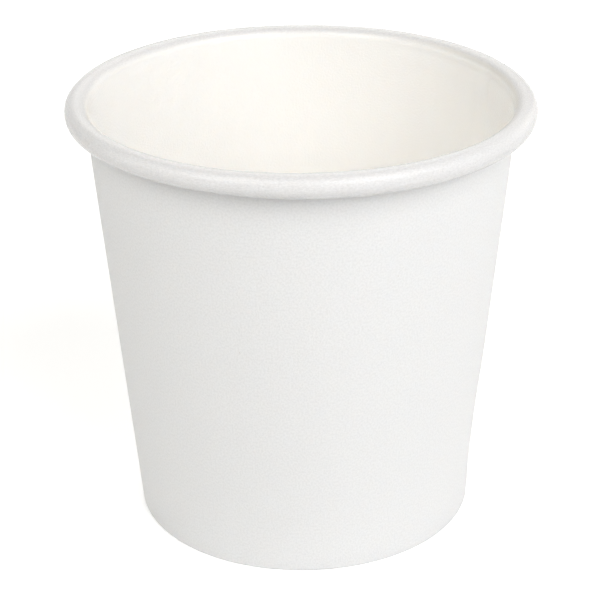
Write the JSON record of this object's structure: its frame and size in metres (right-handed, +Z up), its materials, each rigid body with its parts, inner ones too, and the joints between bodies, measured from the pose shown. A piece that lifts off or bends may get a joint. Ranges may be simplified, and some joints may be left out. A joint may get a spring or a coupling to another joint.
{
  "type": "paper sundae cup",
  "caption": "Small round paper cup with a tapered wall, a rolled rim, a glued side lap and a base held in a folded foot.",
  "frame": {"origin": "centre of the foot, on the surface that the cup stands on", "axes": "+Z up along the cup's own axis, out of the mouth; the side lap's inner edge is 22.6 degrees from +X towards +Y"},
  "size_m": [0.062, 0.062, 0.0591],
  "materials": {
    "wall_board": "matte",
    "base_board": "matte"
  },
  "bodies": {
    "root": {"side_wall": "wall_board", "base_disc": "base_board"}
  },
  "joints": []
}
